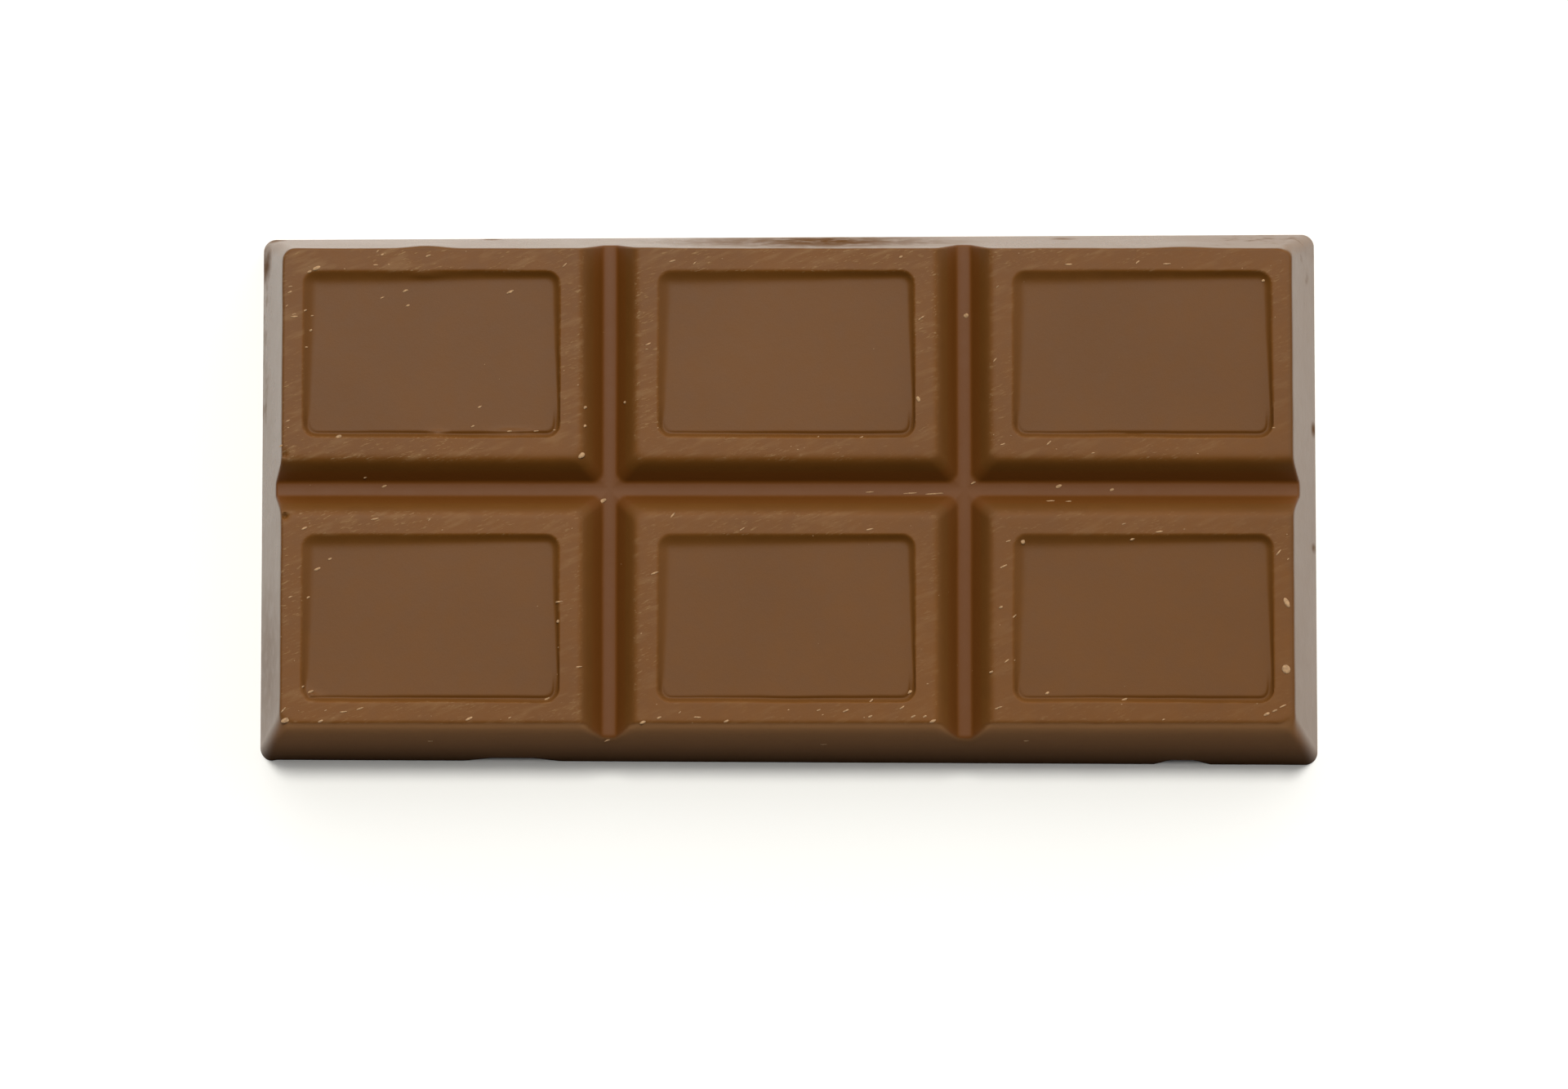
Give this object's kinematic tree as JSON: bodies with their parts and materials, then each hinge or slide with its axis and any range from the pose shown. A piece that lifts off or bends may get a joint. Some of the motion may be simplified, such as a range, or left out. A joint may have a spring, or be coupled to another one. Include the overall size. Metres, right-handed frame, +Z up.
{
  "type": "chocolate bar",
  "caption": "Flat bar of milk chocolate with snap-off blocks between V-shaped grooves, each block with a raised rim round a sunk panel; lies on its flat back.",
  "frame": {"origin": "centre of the bar's box, on the surface that its flat back lies on", "axes": "+X along the bar, across the three columns of blocks; +Y across the bar, from one row of blocks to the other; +Z up, out of the moulded face"},
  "size_m": [0.092, 0.0468, 0.0085],
  "materials": {
    "milk_chocolate": "satin moulded milk chocolate, faintly scuffed"
  },
  "bodies": {
    "root": {"chocolate_bar": "milk_chocolate"}
  },
  "joints": []
}
